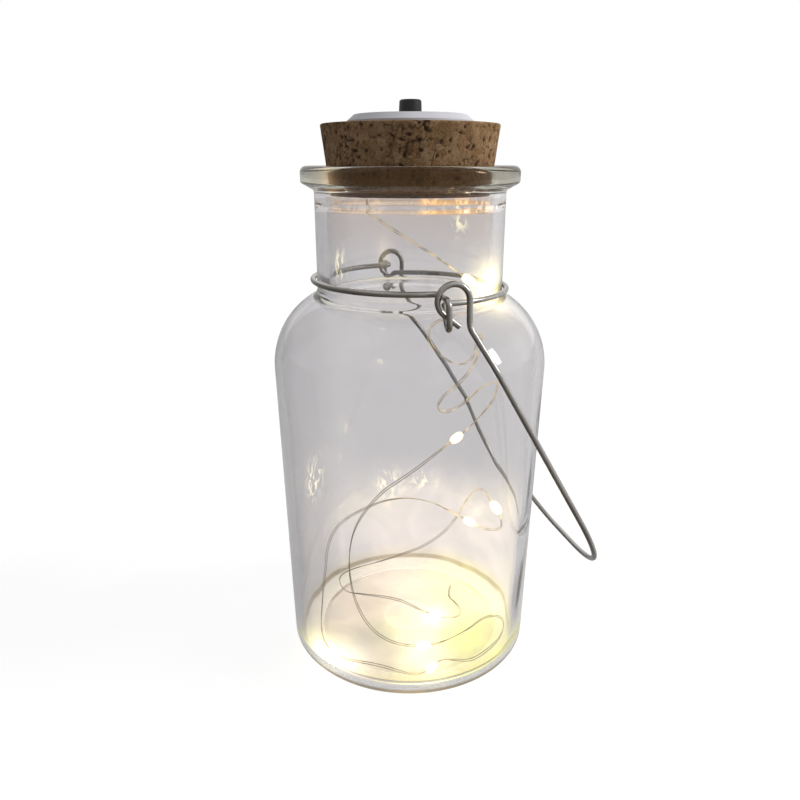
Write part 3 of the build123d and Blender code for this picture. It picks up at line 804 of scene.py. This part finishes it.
def bottle_painted_glints():
    """Broken painted light: painted glints on the walls, the painted bright line in the neck, and a painted
    reflection of crumbs of lit cork below it."""
    glints = patches(((-27.5, 19.8, 42.0), 5.0, 1.5), ((-18.4, 11.9, 111.6), 3.2, 1.5),
                     ((2.0, 34.0, 31.0), 4.0, 0.9), ((18.5, 11.5, 122.5), 2.4, 1.0),
                     ((13.0, 31.5, 33.0), 3.0, 0.8))
    line = band(z, 128.3, 128.6, 0.4) * (0.16 + 0.45 * step(side, 10, 19))
    cork_crumb_reflection = band(z, 127.4, 129.6, 0.5) * step(depth, -30, -6) * (0.128 + 0.336 * band(side, 4, 17, 3))
    return coloured((cork_crumb_reflection * inside, (1.0, 0.50, 0.08)), (glints * inside, (1.0, 0.90, 0.45)),
                    (line * inside, (1.0, 0.88, 0.66)))


def bottle_shine():
    """The strength of its reflections, weaker round the cork and on the lip."""
    shine = 0.5 - 0.5 * inside * step(z, 130.0, 131.5) - 0.38 * (1 - inside) * on_lip
    return np.repeat(shine[:, None], 3, 1)


for layer_name, values in (("tone", bottle_tone_and_shade()), ("glow", bottle_glow()),
                           ("painted_glints", bottle_painted_glints()), ("shine", bottle_shine())):
    layer = bottle.data.attributes.new(layer_name, "FLOAT_COLOR", "POINT")
    layer.data.foreach_set("color", np.hstack([values, np.ones((len(values), 1))]).ravel())
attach(bottle, "bottle")
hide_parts("glass_bottle")

# Cork
cork_sides = 420
cork_step = 0.34
pit_push = 0.34
surface_in = 0.10  # how far the plain surface lies inside the solid's, give or take as much again
top_flat_r = 22.6  # points nearer the middle than this move straight down from the top
low_flat_r = 20.4  # and up from the bottom
flat_soft = 0.05


def pit_depth(p):
    """How deep a pit or a crack between grains goes at a place, 0 to 1. Pits and cracks crowd
    together where a broad noise is high."""
    def between(value, low, high):
        return max(0.0, min(1.0, (value - low) / (high - low)))
    bend_at = p * 0.52 + Vector((3.1, 7.7, 1.3))
    bend = Vector([noise.noise(bend_at + Vector(away)) for away in ((0, 0, 0), (9, 0, 0), (0, 9, 0))])
    distances, _ = noise.voronoi(p * 0.43 + bend * 0.6)
    to_edge = distances[1] - distances[0]
    holes = noise.noise(p * 0.95 + Vector((5, 5, 5))) + 0.35 * noise.noise(p * 2.1)
    crowd = noise.noise(p * 0.15 + Vector((1, 2, 3)))
    pit = between(holes + 0.30 * crowd, 0.33, 0.47)
    crack = between(-to_edge, -0.09, -0.01) * between(crowd, -0.12, 0.13)
    return max(pit, 0.8 * crack)


def cork_point(x, y, z):
    """A point of the cork pushed in by its pits and its slight unevenness, and how deep its pit is.
    Points in the case's bore stay."""
    r = math.hypot(x, y)
    on_axis = r < 0.001
    in_bore = r <= flange_r + 0.1 and z >= cork_low + 1.5
    if on_axis or in_bore:
        return (x, y, z), 0.0
    p = Vector((x, y, z))
    depth = pit_depth(p)
    push = pit_push * depth + surface_in * (1 - noise.noise(p * 0.26))
    if z > cork_high - flat_soft and r < top_flat_r:
        return (x, y, z - push), depth
    if z < cork_low + flat_soft and r < low_flat_r:
        return (x, y, z + push), depth
    return (x * (1 - push / r), y * (1 - push / r), z), depth


cork_profile = rounded([(0, cork_low, 0), (cork_low_r, cork_low, cork_round),
                        (cork_high_r, cork_high, cork_round), (flange_r, cork_high, 0),
                        (flange_r, flange_z, 0), (case_r, flange_z, 0), (case_r, case_z, 0),
                        (0, case_z, 0)], steps=3)
verts, faces = lathe(fine(cork_profile, cork_step), cork_sides)
moved, pits = zip(*(cork_point(*v) for v in verts))
cork = add_mesh("cork", in_metres(moved), faces, cork_mat)
pit_layer = cork.data.attributes.new("pit", "FLOAT", "POINT")
pit_layer.data.foreach_set("value", pits)
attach(cork, "stopper")
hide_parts("cork_stopper")

# Floor
floor_half = 6000.0
floor_corners = [(-floor_half, -floor_half, 0), (floor_half, -floor_half, 0),
                 (floor_half, floor_half, 0), (-floor_half, floor_half, 0)]
floor = add_mesh("floor", in_metres(floor_corners), [(0, 1, 2, 3)], floor_material(), smooth=False)


# World and lamps
def make_world():
    """A white room: seen as white, lighting softly, and in gloss brighter at one soft window."""
    as_gloss = ((0.35, 0.40), (0.65, 0.80))
    through_strength = 0.80
    light_strength = 0.265
    world = bpy.data.worlds.new("world")
    scene.world = world
    m = Nodes("world", world)
    direction = m.add("ShaderNodeTexCoord").outputs["Generated"]

    def window(azimuth, elevation, width, height, strength):
        az, el = math.radians(azimuth), math.radians(elevation)
        ahead = Vector((math.cos(az) * math.cos(el), math.sin(az) * math.cos(el), math.sin(el)))
        across = Vector((-math.sin(az), math.cos(az), 0))
        w, h = math.sin(math.radians(width)), math.sin(math.radians(height))
        bands = [m.band(m.vector_math("DOT_PRODUCT", direction, tuple(axis), out="Value"), low, high, soft)
                 for axis, low, high, soft in ((ahead, 0.2, 2.0, 0.1), (across, -w, w, 0.02),
                                               (across.cross(ahead), -h, h, 0.03))]
        return m.join("MULTIPLY", *bands, strength)

    shine = m.math("ADD", m.ramp(m.noise(direction, 1.6, detail=1), *as_gloss),
                   window(azimuth=-26, elevation=22, width=3.5, height=8, strength=13.0))
    path = m.add("ShaderNodeLightPath").outputs
    seen, through, gloss = path["Is Camera Ray"], path["Is Transmission Ray"], path["Is Glossy Ray"]
    others = m.math("SUBTRACT", 1.0, m.join("MAXIMUM", seen, through, gloss))
    strength = m.join("ADD", m.math("MULTIPLY", gloss, shine),
                      m.math("MAXIMUM", seen, m.math("MULTIPLY", through, through_strength)),
                      m.math("MULTIPLY", others, light_strength))
    m.done(m.shader("Background", Color=(1, 1, 1), Strength=strength))


def sun(name, direction, energy, angle):
    """A wide soft light from far away, so that the floor is lit evenly."""
    data = bpy.data.lights.new(name, "SUN")
    data.energy = energy
    data.angle = math.radians(angle)
    lamp = bpy.data.objects.new(name, data)
    scene.collection.objects.link(lamp)
    lamp.rotation_euler = Vector(direction).to_track_quat("Z", "Y").to_euler()
    lamp.visible_glossy = False
    lamp.visible_transmission = False


make_world()
sun("lamp_right", direction=(0.85, -0.22, 0.60), energy=3.55, angle=35)
sun("lamp_left", direction=(-0.5, -0.6, 0.6), energy=0.2, angle=60)
